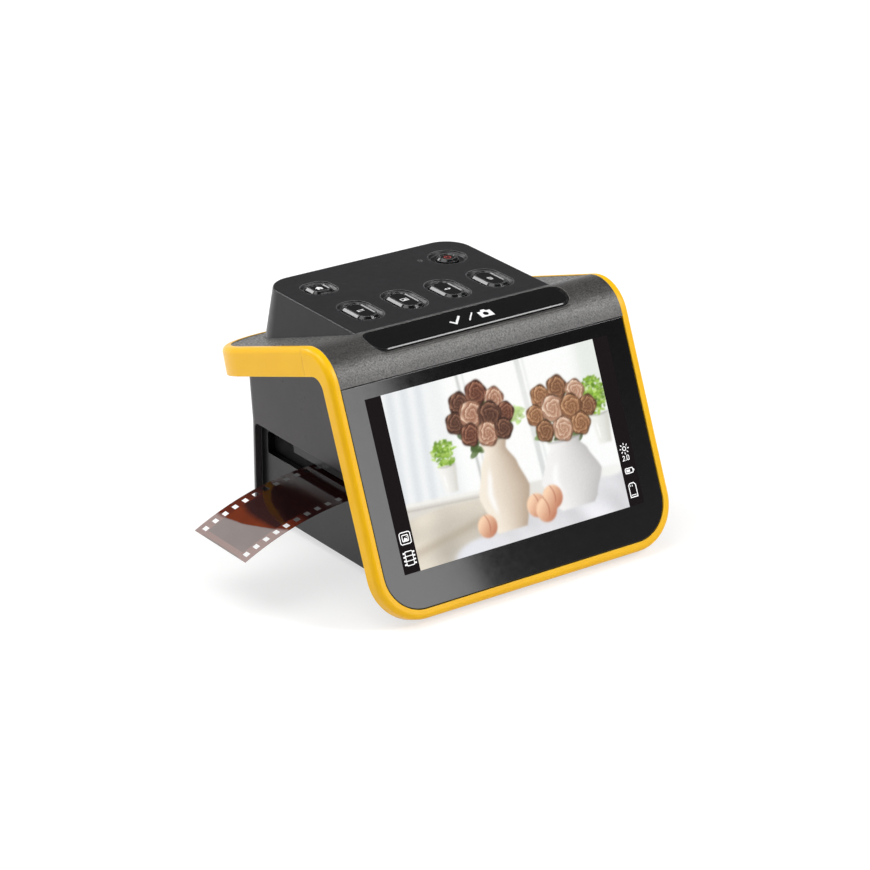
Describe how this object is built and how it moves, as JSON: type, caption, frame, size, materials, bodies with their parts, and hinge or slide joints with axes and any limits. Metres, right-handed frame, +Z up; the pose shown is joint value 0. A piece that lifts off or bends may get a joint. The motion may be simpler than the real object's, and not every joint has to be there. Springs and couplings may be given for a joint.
{
  "type": "film negative scanner",
  "caption": "Desktop film negative scanner with a leaning screen in a bent rim, a sloping shoulder, a raised button deck and a side slot holding a strip of film.",
  "frame": {"origin": "on the table, in the middle of the four feet", "axes": "+X to the right as the user sees the screen, +Y away from the user towards the back, +Z up"},
  "size_m": [0.1687, 0.1288, 0.0981],
  "materials": {
    "yellow_rim": "satin yellow, smooth",
    "dark_panel": "fine-grained dark grey",
    "dark_body": "satin dark grey",
    "deck_plastic": "satin black",
    "gloss_black": "polished black",
    "cover_glass": "polished, black printed border",
    "display": "lit display",
    "pressed_steel": "plain pressed sheet",
    "screw_steel": "zinc plated",
    "foot_rubber": "matte black",
    "board_green": "green lacquer",
    "chip_black": "moulded black",
    "inner_black": "matte black",
    "inner_white": "milky white",
    "diode": "pale yellow resin",
    "lens": "coated and polished",
    "socket_metal": "plated",
    "film_base": "clear brown film",
    "clear_pipe": "clear"
  },
  "bodies": {
    "scanner_body": {"back_housing": "dark_body", "base_plate": "dark_body", "base_screws": "screw_steel", "button_board": "board_green", "camera_board": "board_green", "camera_bridge": "inner_black", "capture_switch": "chip_black", "card_socket": "socket_metal", "control_deck": "deck_plastic", "diffuser": "inner_white", "film_channel": "inner_black", "front_fascia": "dark_panel", "front_trim": "yellow_rim", "function_switch_1": "chip_black", "function_switch_2": "chip_black", "function_switch_3": "chip_black", "function_switch_4": "chip_black", "home_switch": "chip_black", "image_sensor": "chip_black", "lcd_bracket": "pressed_steel", "lcd_panel": "display", "lens_barrel": "inner_black", "lens_glass": "lens", "light_board": "board_green", "light_box": "inner_white", "light_diodes": "diode", "main_board": "board_green", "power_socket": "socket_metal", "power_switch": "chip_black", "processor": "chip_black", "rear_band": "yellow_rim", "rubber_foot_1": "foot_rubber", "rubber_foot_2": "foot_rubber", "rubber_foot_3": "foot_rubber", "rubber_foot_4": "foot_rubber", "screen_glass": "cover_glass", "shoulder_plate": "dark_panel", "status_light": "clear_pipe", "tower_shell": "dark_body", "video_socket": "socket_metal"},
    "function_button_1_body": {"function_button_1": "gloss_black"},
    "function_button_2_body": {"function_button_2": "gloss_black"},
    "function_button_3_body": {"function_button_3": "gloss_black"},
    "function_button_4_body": {"function_button_4": "gloss_black"},
    "home_button_body": {"home_button": "gloss_black"},
    "power_button_body": {"power_button": "gloss_black"},
    "capture_bar_body": {"capture_bar": "gloss_black"},
    "film_insert_body": {"film_insert_base": "inner_black", "film_insert_lid": "inner_black", "insert_hinge_pin": "screw_steel"},
    "film_strip_body": {"film_strip": "film_base"}
  },
  "joints": [
    {"name": "function_button_1_press", "type": "slide", "parent": "scanner_body", "child": "function_button_1_body", "axis": [0, 0.0175, -0.9998], "range_m": [0, 0.0006], "stiffness_N_per_m": 300},
    {"name": "function_button_2_press", "type": "slide", "parent": "scanner_body", "child": "function_button_2_body", "axis": [0, 0.0175, -0.9998], "range_m": [0, 0.0006], "stiffness_N_per_m": 300},
    {"name": "function_button_3_press", "type": "slide", "parent": "scanner_body", "child": "function_button_3_body", "axis": [0, 0.0175, -0.9998], "range_m": [0, 0.0006], "stiffness_N_per_m": 300},
    {"name": "function_button_4_press", "type": "slide", "parent": "scanner_body", "child": "function_button_4_body", "axis": [0, 0.0175, -0.9998], "range_m": [0, 0.0006], "stiffness_N_per_m": 300},
    {"name": "home_button_press", "type": "slide", "parent": "scanner_body", "child": "home_button_body", "axis": [0, 0.0175, -0.9998], "range_m": [0, 0.0006], "stiffness_N_per_m": 300},
    {"name": "power_button_press", "type": "slide", "parent": "scanner_body", "child": "power_button_body", "axis": [0, 0.0175, -0.9998], "range_m": [0, 0.0006], "stiffness_N_per_m": 300},
    {"name": "capture_bar_press", "type": "slide", "parent": "scanner_body", "child": "capture_bar_body", "axis": [0, 0.225, -0.9744], "range_m": [0, 0.0006], "stiffness_N_per_m": 400},
    {"name": "film_insert_slide", "type": "slide", "parent": "scanner_body", "child": "film_insert_body", "axis": [1, 0, 0], "range_m": [-0.06, 0]},
    {"name": "film_strip_slide", "type": "slide", "parent": "film_insert_body", "child": "film_strip_body", "axis": [1, 0, 0], "range_m": [-0.038, 0]}
  ]
}
